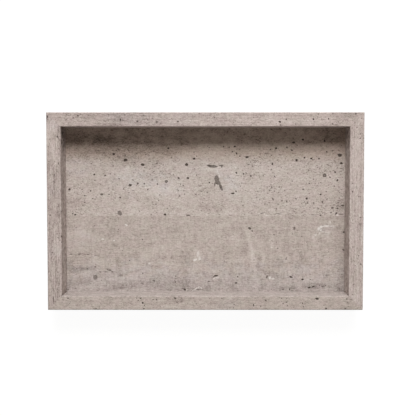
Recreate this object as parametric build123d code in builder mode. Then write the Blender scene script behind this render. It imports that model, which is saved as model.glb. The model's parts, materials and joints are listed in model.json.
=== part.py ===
"""A plain rectangular tea tray with a square mitred rim and a recessed floor.

Four rails stand on edge and meet in mitres. Each rail is a core of wood fibre
board inside a thin decor wrap, which covers its outside, its rim, its inside
and its underside. A wooden biscuit keys each mitre. The floor is a panel of
three layers: a decor laminate, a core and a backer. It is let into a rebate
under the rails, and screws hold it there from below. Four rubber feet stand
under the panel.

The origin is the middle of the footprint, at the height of the table. +X runs
along the tray, +Y goes to its back and +Z goes up. Lengths are in millimetres.
"""

from build123d import *
import os

# The whole tray
tray_length = 400.0
tray_width = 250.0

# Rails
rail_height = 48.0
rail_thickness = 18.0
core_edge_radius = 0.4
wrap_thickness = 0.6
wrap_mitre_gap = 0.1
rebate_width = 10.0

# Floor panel
panel_core_thickness = 8.0
laminate_thickness = 0.8
backer_thickness = 0.7
panel_side_gap = 0.5
panel_recess = 0.5

# Biscuits in the mitres
biscuit_length = 24.0
biscuit_width = 11.0
biscuit_thickness = 3.0
biscuit_clearance = 0.3

# Screws that hold the panel
screw_length = 18.0
screw_diameter = 3.0
screw_head_diameter = 6.0
screw_head_land = 0.3
screw_tip_length = 3.0
screw_clearance = 0.05
screw_cross_span = 3.4
screw_cross_width = 0.8
screw_cross_depth = 1.3
screw_end_distance = 55.0
long_side_screws = 4
short_side_screws = 2

# Feet
foot_diameter = 16.0
foot_height = 2.5
foot_edge_radius = 0.8
foot_inset = 34.0

# How far a cutter runs past the surface that it opens
overrun = 1.0

# Levels above the table
panel_bottom = foot_height
rail_bottom = panel_bottom - panel_recess
core_bottom = panel_bottom + backer_thickness
core_top = core_bottom + panel_core_thickness
floor_level = core_top + laminate_thickness
rim_level = rail_bottom + rail_height

# Sizes and places that follow from the ones above
rebate_wall = rail_thickness - rebate_width
panel_margin = rebate_wall + panel_side_gap
panel_length = tray_length - 2 * panel_margin
panel_width = tray_width - 2 * panel_margin
screw_line = rail_thickness - rebate_width / 2
screw_line_length = tray_length - 2 * screw_line
screw_line_width = tray_width - 2 * screw_line
long_screw_step = (tray_length - 2 * screw_end_distance) / (long_side_screws - 1)
short_screw_step = (tray_width - 2 * screw_end_distance) / (short_side_screws - 1)

# Each side by the way it faces
side_facings = {
    "front": Vector(0, -1, 0),
    "right": Vector(1, 0, 0),
    "back": Vector(0, 1, 0),
    "left": Vector(-1, 0, 0),
}

# Each corner by its side of the middle along X and along Y
corner_signs = {
    "front_left": (-1, -1),
    "front_right": (1, -1),
    "back_right": (1, 1),
    "back_left": (-1, 1),
}


def rail_section(inset):
    """A rail's section, with its wrapped faces set in by inset.

    X goes from the rail's outer face inwards and Y is the height.
    """
    low = rail_bottom + inset
    high = rim_level - inset
    inner = rail_thickness - inset
    rounding = core_edge_radius + wrap_thickness - inset
    with BuildSketch() as section:
        with BuildLine():
            FilletPolyline(
                (inset, low),
                (inset, high),
                (inner, high),
                (inner, floor_level),
                (rebate_wall, floor_level),
                (rebate_wall, low),
                radius=[rounding, rounding, rounding, 0, 0, 0],
                close=True,
            )
        make_face()
    return section.sketch


def biscuit_outline(growth):
    """A biscuit's pointed oval outline, larger by growth all round."""
    tip = biscuit_length / 2 + growth
    belly = biscuit_width / 2 + growth
    with BuildSketch() as outline:
        with BuildLine():
            ThreePointArc((0, -tip), (belly, 0), (0, tip))
            ThreePointArc((0, tip), (-belly, 0), (0, -tip))
        make_face()
    return outline.sketch


def screw_profile(growth, extension):
    """Half of a countersunk screw's section, wider by growth and longer at both ends."""
    head = screw_head_diameter / 2 + growth
    shank = screw_diameter / 2 + growth
    tip = screw_length + extension
    with BuildSketch() as profile:
        with BuildLine():
            Polyline(
                (0, -extension),
                (head, -extension),
                (head, screw_head_land),
                (shank, screw_head_land + head - shank),
                (shank, tip - screw_tip_length),
                (0, tip),
                close=True,
            )
        make_face()
    return profile.sketch


def biscuit_plane(signs, thickness):
    """The outer broad face of a plate that stands across a mitre, halfway into it."""
    x_sign, y_sign = signs
    middle = Vector(
        x_sign * (tray_length - rail_thickness) / 2,
        y_sign * (tray_width - rail_thickness) / 2,
        (floor_level + rim_level) / 2,
    )
    inward = Vector(-x_sign, -y_sign, 0).normalized()
    across = Vector(-y_sign, x_sign, 0)
    return Plane(origin=middle - inward * (thickness / 2), x_dir=across, z_dir=inward)


os.makedirs("parts", exist_ok=True)

core_section = rail_section(wrap_thickness)
covered_section = rail_section(0)
biscuit_face = biscuit_outline(0)
slot_face = biscuit_outline(biscuit_clearance)
slot_thickness = biscuit_thickness + 2 * biscuit_clearance
screw_half = screw_profile(0, 0)
hole_half = screw_profile(screw_clearance, overrun)
screw_axis_plane = Plane.XZ.shift_origin((0, 0, panel_bottom))

screw_places = [
    *GridLocations(long_screw_step, screw_line_width, long_side_screws, 2),
    *GridLocations(screw_line_length, short_screw_step, 2, short_side_screws),
]

# What the biscuits and the screws need cut out
with BuildPart() as biscuit_slots:
    for signs in corner_signs.values():
        with BuildSketch(biscuit_plane(signs, slot_thickness)):
            add(slot_face)
        extrude(amount=slot_thickness)

with BuildPart() as screw_hole:
    with BuildSketch(screw_axis_plane):
        add(hole_half)
    revolve(axis=Axis.Z)

# Rails: a core and its wrap on each side of the tray
for side_name, facing in side_facings.items():
    along = Vector(-facing.Y, facing.X, 0)
    run = abs(along.X) * tray_length + abs(along.Y) * tray_width
    stand_off = abs(facing.X) * tray_length / 2 + abs(facing.Y) * tray_width / 2
    start = facing * stand_off - along * (run / 2)
    end = facing * stand_off + along * (run / 2)
    section_plane = Plane(origin=start, x_dir=-facing, z_dir=along)
    mitres = [
        Plane(origin=start, z_dir=-along - facing),
        Plane(origin=end, z_dir=along - facing),
    ]

    with BuildPart() as rail_core:
        with BuildSketch(section_plane):
            add(core_section)
        extrude(amount=run)
        for mitre in mitres:
            split(bisect_by=mitre, keep=Keep.BOTTOM)
        add(biscuit_slots.part, mode=Mode.SUBTRACT)
        with Locations(*screw_places):
            add(screw_hole.part, mode=Mode.SUBTRACT)
    rail_core.part.label = f"{side_name}_rail_core"
    export_step(rail_core.part, f"parts/{side_name}_rail_core.step")

    with BuildPart() as rail_wrap:
        with BuildSketch(section_plane):
            add(covered_section)
            add(core_section, mode=Mode.SUBTRACT)
        extrude(amount=run)
        for mitre in mitres:
            split(bisect_by=mitre.offset(-wrap_mitre_gap / 2), keep=Keep.BOTTOM)
    rail_wrap.part.label = f"{side_name}_rail_wrap"
    export_step(rail_wrap.part, f"parts/{side_name}_rail_wrap.step")

# Biscuits: one in each mitre
for corner_name, signs in corner_signs.items():
    with BuildPart() as biscuit:
        with BuildSketch(biscuit_plane(signs, biscuit_thickness)):
            add(biscuit_face)
        extrude(amount=biscuit_thickness)
    biscuit.part.label = f"{corner_name}_biscuit"
    export_step(biscuit.part, f"parts/{corner_name}_biscuit.step")

# Floor panel: the backer, the core and the decor laminate that shows
panel_layers = {
    "floor_backer": (panel_bottom, backer_thickness),
    "floor_core": (core_bottom, panel_core_thickness),
    "floor_laminate": (core_top, laminate_thickness),
}
for layer_name, (layer_bottom, layer_thickness) in panel_layers.items():
    with BuildPart() as panel_layer:
        with BuildSketch(Plane.XY.offset(layer_bottom)):
            Rectangle(panel_length, panel_width)
        extrude(amount=layer_thickness)
        with Locations(*screw_places):
            add(screw_hole.part, mode=Mode.SUBTRACT)
    panel_layer.part.label = layer_name
    export_step(panel_layer.part, f"parts/{layer_name}.step")

# Screws: a cross-recessed screw at each of the places
with BuildPart() as screw:
    with BuildSketch(screw_axis_plane):
        add(screw_half)
    revolve(axis=Axis.Z)
    with BuildSketch(Plane.XY.offset(panel_bottom)):
        Rectangle(screw_cross_span, screw_cross_width)
        Rectangle(screw_cross_width, screw_cross_span)
    extrude(amount=screw_cross_depth, mode=Mode.SUBTRACT)

with BuildPart() as panel_screws:
    with Locations(*screw_places):
        add(screw.part)
panel_screws.part.label = "panel_screws"
export_step(panel_screws.part, "parts/panel_screws.step")

# Feet: one near each corner of the panel
for corner_name, (x_sign, y_sign) in corner_signs.items():
    foot_x = x_sign * (tray_length / 2 - foot_inset)
    foot_y = y_sign * (tray_width / 2 - foot_inset)
    with BuildPart() as foot:
        with BuildSketch():
            with Locations((foot_x, foot_y)):
                Circle(foot_diameter / 2)
        extrude(amount=foot_height)
        fillet(foot.edges().group_by(Axis.Z)[0], radius=foot_edge_radius)
    foot.part.label = f"{corner_name}_foot"
    export_step(foot.part, f"parts/{corner_name}_foot.step")
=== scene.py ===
"""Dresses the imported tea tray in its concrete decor, and lights and frames it.

The decor skins of the rails and the floor are rebuilt here with their pits and
chips sunk into them. The board, biscuits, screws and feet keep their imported
shapes and get their own materials.

Lengths are in millimetres until a mesh, a lamp or the camera is made, and MM
turns them into metres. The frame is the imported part's: +X along the tray, +Y to
its back, +Z up, with the origin in the middle of the footprint on the table.
"""

from collections import namedtuple
import json
import math
import random

import bmesh
import bpy
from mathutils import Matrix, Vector, noise
from mathutils.geometry import delaunay_2d_cdt
import numpy as np


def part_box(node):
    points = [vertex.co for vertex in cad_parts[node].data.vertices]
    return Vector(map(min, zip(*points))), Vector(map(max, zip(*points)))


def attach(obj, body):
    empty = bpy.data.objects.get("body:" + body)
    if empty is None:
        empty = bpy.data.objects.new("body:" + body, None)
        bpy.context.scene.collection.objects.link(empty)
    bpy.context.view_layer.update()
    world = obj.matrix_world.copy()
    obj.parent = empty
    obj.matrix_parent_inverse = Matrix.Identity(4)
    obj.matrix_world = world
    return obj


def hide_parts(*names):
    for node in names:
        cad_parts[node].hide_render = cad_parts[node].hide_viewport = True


MM = 0.001

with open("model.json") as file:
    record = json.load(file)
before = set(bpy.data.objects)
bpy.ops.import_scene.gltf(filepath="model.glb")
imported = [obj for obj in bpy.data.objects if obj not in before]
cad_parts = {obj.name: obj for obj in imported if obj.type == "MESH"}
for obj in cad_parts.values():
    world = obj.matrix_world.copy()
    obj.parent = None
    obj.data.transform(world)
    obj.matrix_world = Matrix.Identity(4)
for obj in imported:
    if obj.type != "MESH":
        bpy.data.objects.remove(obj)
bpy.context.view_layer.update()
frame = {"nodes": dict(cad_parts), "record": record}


def cad_box(node):
    """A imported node's lowest and highest corners, in millimetres."""
    return tuple(Vector(corner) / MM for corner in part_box(node))


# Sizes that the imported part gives
laminate_low, laminate_high = cad_box("floor_laminate")
side_low, side_high = cad_box("left_rail_wrap")
HALF_LENGTH = -side_low.x
HALF_WIDTH = cad_box("back_rail_wrap")[1].y
RAIL_THICKNESS = side_high.x - side_low.x
RAIL_BOTTOM = side_low.z
RIM = side_high.z
FLOOR = laminate_high.z

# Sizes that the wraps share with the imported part
WRAP_THICKNESS = 0.6
ARRIS_RADIUS = 1.0
REBATE_WALL = 8.0
MITRE_GAP = 0.1
SCREW_HOLE_RADIUS = 1.55

# How finely the skins are cut: along an arris and round a screw's hole, close beside an
# arris, along the rows of a profile, over the floor and over a rail's faces
ARC_STEPS = 5
HOLE_POINTS = 16
GUARD = 0.25
ROW_STEP = 2.0
FLOOR_STEP = 2.2
FACE_STEP = 4
FACE_ROWS = (5, 6, 9)
SAME_POINT = 1e-4

# A face is flat where its normal is this much along an axis, and sharp edges are in degrees
FLAT = 0.999
SHARP_ANGLE = 50

# A mark's shape, in shares of its radius: its sloping side, where a paler middle begins
# and how far on it is full, its rings of points, and the most that it reaches
SIDE_SHARE = 0.25
PALER_START_SHARE = 0.3
PALER_WIDTH_SHARE = 0.35
RING_SHARES = (0.4, 0.75, 0.87, 1.0, 1.15)
REACH_SHARE = 1.6

# How many points a ring has at least and at most, and about how far apart they are
RING_LEAST = 8
RING_MOST = 28
RING_STEP = 0.55

# How a mark's rim wobbles: its waves, and the least and most that the first would be
RIM_WAVES = (2, 3, 5)
WOBBLE_LEAST = 0.02
WOBBLE_MOST = 0.3

# The small scattered pits: how stretched and dark, how deep for their radius, how far
# apart for their reaches, and how seldom a crowded face stops the scatter
PIT_STRETCHES = (1, 1.7)
PIT_TONES = (0.45, 0.9)
PIT_DEPTH_SHARE = 0.5
PIT_SPACING = 1.3
STOP_CHANCE = 0.001

# Those on the upper and lower boards of the floor, and how far they stay from the rails,
# from the back one and from the seam
UPPER_PITS = 310
LOWER_PITS = 90
UPPER_PIT_RADII = (0.3, 0.9)
LOWER_PIT_RADII = (0.3, 0.8)
FLOOR_MARGIN = 2
BACK_MARGIN = 20

# Those on a rail's outer face, rim and inner face, for each millimetre of half its length
RAIL_PIT_DENSITIES = (0.30, 0.16, 0.10)
RAIL_PIT_RADII = (0.3, 0.8)
RAIL_PIT_MARGIN = 1.2

# How far the outlines of the decor's patches wander, and over what length
DRIFT = 3.0
DRIFT_CELL = 6.0

# The board joint that the decor shows across the floor
SEAM = -7.4
SEAM_HALF_WIDTH = 0.4
SEAM_DEPTH = 0.04
SEAM_MARGIN = 1.5


# Marks in the decor. u runs along a face and v across it. tone is how dark the
# mark is, or how light where it is below zero, and paler how much of that its
# middle loses.
Mark = namedtuple("Mark", "u v radius stretch angle depth tone paler", defaults=(0.0,))


def pit(u, v, radius, stretch=1.0, angle=0.0, depth=0.3, tone=0.95, paler=0.0):
    """A small air hole."""
    return Mark(u, v, radius, stretch, angle, depth, tone, paler)


def chip(u, v, radius, stretch=1.0, angle=0.0, depth=0.2, tone=0.5):
    """A shallow broken-out place, greyer than a pit."""
    return Mark(u, v, radius, stretch, angle, depth, tone)


def scuff(u, v, radius, stretch=1.0, angle=0.0, tone=-0.5):
    """A pale rubbed place with no depth."""
    return Mark(u, v, radius, stretch, angle, 0.0, tone)


# The floor's larger marks, in millimetres from the middle of the tray
FLOOR_MARKS = [
    # Upper board, left
    pit(-119.5, 73, 1.9),
    pit(-104.3, 65.2, 2.1, 1.6, 16),
    pit(-81.8, 59.2, 1.9, 1.55, -24),
    pit(-24.6, 59.4, 2.0, 1.25),
    pit(-14.8, 67.1, 1.6, 1.3),
    pit(-48.4, 80.5, 1.4),
    pit(-130.8, 45, 1.3, tone=0.65),
    pit(-145, 46.5, 1.3, 1.2, tone=0.8),
    pit(-112.7, 41.2, 1.0, tone=0.7),
    pit(-98.2, 32.5, 2.0, 1.1, tone=0.9),
    pit(-88.4, 34.5, 1.6, tone=0.8),
    pit(-79.9, 34.3, 1.2, tone=0.8),
    pit(-62.6, 33.9, 1.3, tone=0.7),
    pit(-51, 37.3, 2.0, 1.25, 20, 0.25, 0.85, 0.25),
    pit(-34.9, 41.7, 1.5, tone=0.85),
    pit(-23, 41.7, 1.7),
    pit(-29.1, 32.2, 0.9),
    pit(-32.4, 33.8, 0.8),
    pit(-35.5, 25.4, 0.8),
    pit(-27.4, 20.8, 1.0, tone=0.6),
    pit(-33.9, 18.3, 1.5, tone=0.55),
    pit(-177.5, 27, 1.7),
    pit(-149.9, 25, 1.3, tone=0.7),
    pit(-135.5, 20.4, 1.7, 1.35, 0, 0.25, 0.75),
    pit(-126, 20.4, 1.2, tone=0.6),
    pit(-111.4, 16.4, 1.4, tone=0.75),
    pit(-100, 22.6, 1.0, tone=0.6),
    pit(-106, 8.7, 1.0, tone=0.5),
    pit(-64.6, 7.4, 1.2, 1.6, -40, 0.15, 0.45),
    # Upper board, right
    pit(54.3, 69.1, 1.4, 1.8),
    pit(40.4, 73.9, 1.3),
    pit(35, 76, 1.0),
    pit(44.8, 70.4, 1.0),
    pit(38.2, 83, 1.3, 1.3),
    pit(30.9, 81.8, 1.0),
    pit(23.6, 82.6, 1.0),
    pit(56.7, 59.5, 0.9),
    pit(40.3, 48.6, 1.4),
    pit(49.7, 47.2, 1.0, 1.3),
    pit(53, 48.3, 0.9),
    pit(59.3, 44.3, 1.3, tone=0.8),
    pit(66.5, 16.5, 1.0, tone=0.55),
    pit(87.2, 60.1, 1.5),
    pit(92, 80.5, 1.4, 1.2),
    pit(84.7, 79, 1.0),
    pit(106, 81.8, 1.1),
    pit(112.5, 78.1, 1.0, 1.9, -15),
    pit(126.9, 91.9, 1.6),
    pit(155, 90.2, 1.6),
    pit(115, 88.3, 1.1, 2.2, -10),
    pit(118.7, 65, 1.8, 1.1, 30),
    pit(129, 68.3, 1.4),
    pit(137.8, 67.2, 1.4, 1.3, -30),
    pit(140, 65.6, 1.0),
    pit(148, 67.1, 1.3),
    pit(158, 76, 1.1),
    pit(134.5, 51.9, 1.2, tone=0.55),
    pit(169, 49.5, 1.4),
    pit(175, 71.6, 2.5, 1.3, -5, 0.3, 0.85),
    pit(177, 61, 1.8, 1.2),
    pit(155.4, 45.2, 2.5, 1.25, 0, 0.3, 0.8, 0.25),
    pit(113.3, 37.6, 1.3, tone=0.55),
    pit(135.4, 34.8, 1.0),
    pit(172, 38.9, 1.2, 1.6, 60),
    pit(168, 31.4, 0.9),
    pit(86.4, 29.9, 1.1, tone=0.65),
    pit(83.8, 25.5, 1.1, 1.2, tone=0.6),
    pit(89.9, 24.5, 1.0, tone=0.6),
    pit(96.2, 29.9, 0.9),
    pit(127.7, 27, 1.1, 1.6, tone=0.7),
    pit(150.4, 20.4, 1.4, tone=0.85),
    pit(132.2, 15.1, 1.6),
    pit(152.6, 10.5, 1.5, tone=0.65),
    pit(157.3, 4.8, 0.9, 1.6, tone=0.45),
    pit(141.5, 9.1, 1.2, tone=0.7),
    pit(133.5, 9.3, 1.0, tone=0.85),
    pit(131.3, 8.2, 0.9, tone=0.7),
    pit(88.2, 14.2, 1.1, 2.0, -60, 0.2, 0.75),
    pit(95, 7.7, 0.9),
    pit(100, 12.3, 0.9),
    pit(5.1, 35.9, 1.1),
    pit(-4.7, 24.2, 1.1, tone=0.5),
    pit(2.3, 22.9, 0.9),
    pit(35.8, 21.7, 1.3, 1.8),
    pit(39.9, 24.5, 1.1),
    # A dash, and a forked blotch below it
    chip(9.6, 57, 2.2, 2.9, -6, 0.25, 0.7),
    chip(4.6, 58.1, 1.4, 2.1, -10, 0.25, 0.8),
    chip(20.8, 58, 1.2, 2.6, -3, 0.2, 0.7),
    chip(21.2, 56.8, 1.6, 1.1, 90, 0.2, 0.64),
    chip(15, 39.4, 3.8, 1.85, 92, 0.25, 0.64),
    chip(17.6, 36.5, 1.9, 2.6, -66, 0.25, 0.64),
    chip(20, 30.2, 1.9, 3, -66, 0.25, 0.7),
    chip(21.6, 26.6, 1.5, 1.3, -60, 0.25, 0.68),
    chip(12.4, 34.2, 1.4, 2.3, 76, 0.2, 0.62),
    pit(14.8, 35, 0.9, 2, 0, 0.2, 0.78),
    pit(19.4, 29.8, 0.9, 1.4, -60, 0.2, 0.8),
    scuff(16.6, 55.6, 1.1, 1.3, 0, -0.4),
    scuff(15.5, 51.4, 1.2, 1.8, 95, -0.4),
    scuff(17.9, 45.6, 1.2, 3.4, -66, -0.45),
    scuff(2.6, 60.6, 0.8, 2.0, -10, -0.4),
    # Along the seam: a broken corner, pits and short cracks
    chip(-112.2, -3.9, 3.3, 1.15, 90, 0.25, 0.6),
    chip(-110.6, -5.6, 1.9, 1.1, 0, 0.25, 0.66),
    pit(-52.8, -5.8, 1.7, 1.1),
    pit(-48.6, -5.4, 0.7, 2.6, 8, 0.15, 0.5),
    pit(-22.6, -6.8, 0.85, 3.8, 0, 0.2, 1.0),
    pit(-170.3, -6.2, 1.2, 1.4),
    pit(-71, -6.2, 1.0, tone=0.6),
    pit(74, -4.2, 0.9, 3.4, 15, 0.15, 0.6),
    pit(79, -4.2, 0.75, 4, -28, 0.15, 0.35),
    pit(96.3, -5.0, 0.7, 7, -6, 0.12, 0.6),
    pit(101.5, 5.2, 0.8, tone=0.35),
    pit(112.5, 2.3, 0.8, tone=0.35),
    pit(127.1, 4.7, 0.8, tone=0.35),
    pit(141, -6.4, 0.6, 7, 0, 0.12, 0.55),
    pit(150.6, -6.9, 1.2, tone=0.85),
    scuff(80.7, -7, 0.8, 4.5, 0, -0.5),
    scuff(138, -7.4, 0.7, 5, 0, -0.4),
    # A broken place where the seam meets the right rail
    pit(165.9, 2.7, 1.7, 1.35, 30, 0.3, 0.68),
    pit(172.5, 2.1, 1.1, 1.3, 0, 0.3, 0.75),
    pit(179.2, 6.1, 0.85, 3, 0, 0.25, 1.0),
    pit(175.9, 4.7, 0.6, 2.4, 34, 0.15, 0.5),
    pit(164.1, -3.3, 1.25, 1.2, 20, 0.25, 0.7),
    pit(167.4, -1.2, 0.9, 1.5, 45, 0.15, 0.35),
    pit(171, -4.2, 1.4, 1.2, 52, 0.3, 0.95),
    pit(169.6, -6.2, 0.7, 1.5, 65, 0.2, 0.8),
    pit(177.1, -5.6, 0.75, 6, -1, 0.15, 0.65),
    pit(164.1, -7.2, 0.9, 1.5, 0, 0.15, 0.35),
    pit(172.7, 6, 1.1, 1.3, 0, 0.15, 0.45),
    pit(173.6, 9.9, 1.2, 1.6, 20, 0.15, 0.4),
    pit(147.7, 2.1, 0.8, 1.8, 0, 0.2, 0.6),
    scuff(168.7, -1.6, 1.0, 1.0, 0, -0.45),
    scuff(172.6, -6.5, 1.2, 1.6, -10, -0.55),
    scuff(174.5, -1, 0.9, 3.0, -46, -0.3),
    # Lower board, pits
    pit(57.8, -24, 1.8, 1.5, -35, 0.3, 0.75),
    pit(61.2, -27.4, 1.1, 1.2, -35, 0.3, 0.85),
    chip(116.3, -24, 1.6, 1.8, 90, 0.2, 0.6),
    pit(132.5, -42, 1.3, 1.4, 80, 0.15, 0.4),
    pit(126, -34.4, 1.1, tone=0.6),
    pit(89.7, -32.3, 1.1, 1.6, -45, 0.2, 0.5),
    pit(113.8, -31.4, 1.0, tone=0.5),
    pit(94.9, -50.2, 0.9, tone=0.7),
    pit(105.8, -63.8, 1.2, 1.9, 82, 0.15, 0.55),
    pit(80.7, -87.6, 1.0, 2.2, 85, 0.2, 0.85),
    pit(112.2, -88, 1.3, 2.0, -15, 0.3, 0.95),
    pit(127.4, -91.2, 1.4, 1.3),
    pit(136.2, -102, 1.1, 1.9, 15),
    pit(141.3, -100.8, 1.2, 1.5, 10),
    pit(153.7, -100.4, 1.0, 1.8, 10, 0.3, 0.6),
    pit(149.6, -98.8, 0.8, tone=0.75),
    pit(157.8, -99, 0.8, tone=0.75),
    pit(110.3, -104.4, 1.2, tone=0.8),
    pit(101.9, -104.6, 1.1, tone=0.7),
    pit(86.4, -104.4, 0.9, tone=0.5),
    pit(175.6, -103.4, 0.9, tone=0.6),
    pit(181.2, -29, 1.3, 1.3, -20, 0.2, 0.85),
    pit(180.6, -52.2, 1.1, 2.0, -45, 0.2, 0.7),
    pit(158.5, -86, 1.4, 1.3, 0, 0.15, 0.4),
    pit(-144.6, -74.6, 1.2, 1.2, 90, 0.2, 0.6),
    pit(-154.9, -77.6, 1.1, 1.3, 10, 0.2, 0.4),
    chip(-128.5, -78.4, 1.3, 1.1, 0, 0.2, 0.6),
    chip(-125.6, -79.1, 1.3, 2.0, -8, 0.2, 0.58),
    chip(-131.1, -81, 1.2, 1.5, 10, 0.2, 0.45),
    chip(-122.3, -81, 1.1, 1.5, -25, 0.2, 0.52),
    scuff(-129.3, -83.4, 0.8, 4.0, 0, -0.3),
    scuff(-129.5, -75.4, 0.7, 2.4, 20, -0.25),
    pit(-144.7, -88.6, 3.4, 1.1, 5, 0.3, 0.55),
    pit(-143.9, -85.6, 1.0, 1.0, 0, 0.2, 0.6),
    scuff(-142.5, -93.6, 0.8, 2.6, 30, -0.3),
    pit(-159.1, -104.5, 0.85, 2.0, 0, 0.15, 0.35),
    pit(-111.9, -85.5, 1.4, 2.2, 90, 0.1, 0.35),
    pit(-170.6, -103.1, 1.0, 1.9, 0, 0.15, 0.5),
    pit(-180.4, -104.6, 1.3, 1.2, 0, 0.2, 0.6),
    pit(-82.8, -96.4, 1.7, 1.2, 0, 0.15, 0.45),
    pit(-67.8, -92.9, 1.5, 1.25, 0, 0.2, 0.62),
    pit(-39.5, -86.9, 1.0, tone=0.6),
    pit(-39.5, -94.8, 1.1, tone=0.72),
    pit(-17.4, -53.9, 1.1, tone=0.5),
    pit(-85.9, -22.1, 1.0, tone=0.45),
    pit(-69.9, -27.7, 0.8, tone=0.5),
    pit(-23.6, -23.5, 0.9, tone=0.35),
    pit(13.9, -86.4, 1.2, 2.6, 4, 0.3, 0.95),
    pit(11, -87.6, 0.9, 1.8, 38, 0.25, 0.75),
    pit(9.5, -92.9, 0.9, 1.6, 0, 0.15, 0.4),
    pit(4.4, -93.9, 1.4, 1.1, 0, 0.2, 0.65),
    pit(17.4, -103.9, 1.2, tone=0.25),
    pit(-27.2, -104.6, 1.7, 1.1, 20),
    pit(-29.5, -103.1, 0.9, 1.2, 0, 0.2, 0.7),
    pit(-23.3, -106.6, 1.0, 1.3, 0, 0.12, 0.35),
    pit(-8.9, -104.8, 0.65, 6, 5, 0.15, 0.72),
    pit(-15.4, -103.1, 0.9, 1.4, 0, 0.12, 0.35),
    pit(-16.1, -106.8, 0.7, 1.6, 0, 0.12, 0.5),
    pit(42.2, -87.6, 1.3, 1.0, 0, 0.2, 0.65),
    pit(31.9, -84.3, 1.1, 1.9, 10, 0.15, 0.5),
    pit(40.1, -95.8, 1.1, 1.9, 0, 0.2, 0.8),
    pit(-176.5, -58, 0.65, 4.5, 0, 0.12, 0.75),
    pit(-164.5, -57.8, 0.6, 6, 1, 0.12, 0.7),
    pit(-154, -58.3, 0.6, 3.5, -3, 0.12, 0.7),
    pit(-143, -60, 0.5, 9, -2, 0.1, 0.5),
    # Lower board, rubbed and filled places
    scuff(-103.7, -19.5, 1.1, 2.0, -30, -1.0),
    scuff(-134.7, -38.1, 0.9, 2.3, 0, -1.0),
    scuff(-119.6, -39.8, 1.0, 1.4, 0, -1.0),
    scuff(-16.5, -18, 0.9, 1.3, 0, -0.6),
    scuff(-73.5, -69.8, 1.0, 2.0, 0, -0.7),
    scuff(-13.6, -65.3, 2.0, 1.5, 25, -0.8),
    scuff(-9.8, -57.5, 2.0, 2.4, 82, -0.55),
    scuff(-7.6, -63.5, 2.0, 1.6, 80, -0.6),
    scuff(6.4, -56.4, 0.8, 3.6, 0, -0.5),
    scuff(10.9, -90.1, 0.8, 2.4, 38, -0.7),
    scuff(15.2, -89.1, 0.8, 3.2, 0, -0.75),
    scuff(-24.4, -104.5, 1.1, 1.6, 90, -0.45),
    scuff(-16.2, -105.6, 0.8, 2.6, 25, -0.6),
    scuff(-12.6, -103.4, 0.85, 3.2, 38, -0.7),
    scuff(-9, -101.3, 0.85, 2.4, 14, -0.7),
    scuff(-5.6, -102.3, 0.85, 2.6, -35, -0.65),
    scuff(-3, -106.6, 0.8, 1.2, 0, -0.4),
    scuff(84.2, -89, 1.9, 1.2, 60, -0.7),
    scuff(88.4, -90.2, 1.5, 1.7, -10, -0.6),
    scuff(148.4, -24.4, 2.1, 1.4, 60, -0.65),
    scuff(151.6, -21.9, 1.7, 1.6, 8, -0.8),
    scuff(157.5, -21, 1.7, 2.8, 6, -0.65),
    scuff(165.8, -21.2, 1.3, 3.4, -2, -0.5),
    scuff(151, -26.4, 1.3, 1.5, 40, -0.7),
    scuff(153.4, -28.4, 1.2, 1.8, -10, -0.5),
    scuff(149.2, -30.6, 1.3, 1.6, 60, -0.45),
    scuff(160, -29.3, 1.2, 4.2, -2, -0.45),
    scuff(144.2, -32.4, 1.7, 1.5, 25, -0.5),
    scuff(140.8, -36, 1.5, 1.8, 55, -0.42),
    scuff(147, -36.8, 1.5, 1.3, 0, -0.3),
    scuff(163, -15.9, 1.1, 2.0, 88, -0.6),
    scuff(117, -18.6, 0.9, 2.0, 90, -0.45),
    pit(152.8, -26.2, 0.5, 3.0, -5, 0.1, 0.45),
]

# A broad light or dark patch: its place and radii, how much it lifts the tone, and its
# turn in degrees
Patch = namedtuple("Patch", "x y long wide lift turn", defaults=(0,))


def patch_rows(*rows):
    """Patches from rows of their numbers."""
    return [Patch(*row) for row in rows]


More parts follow.
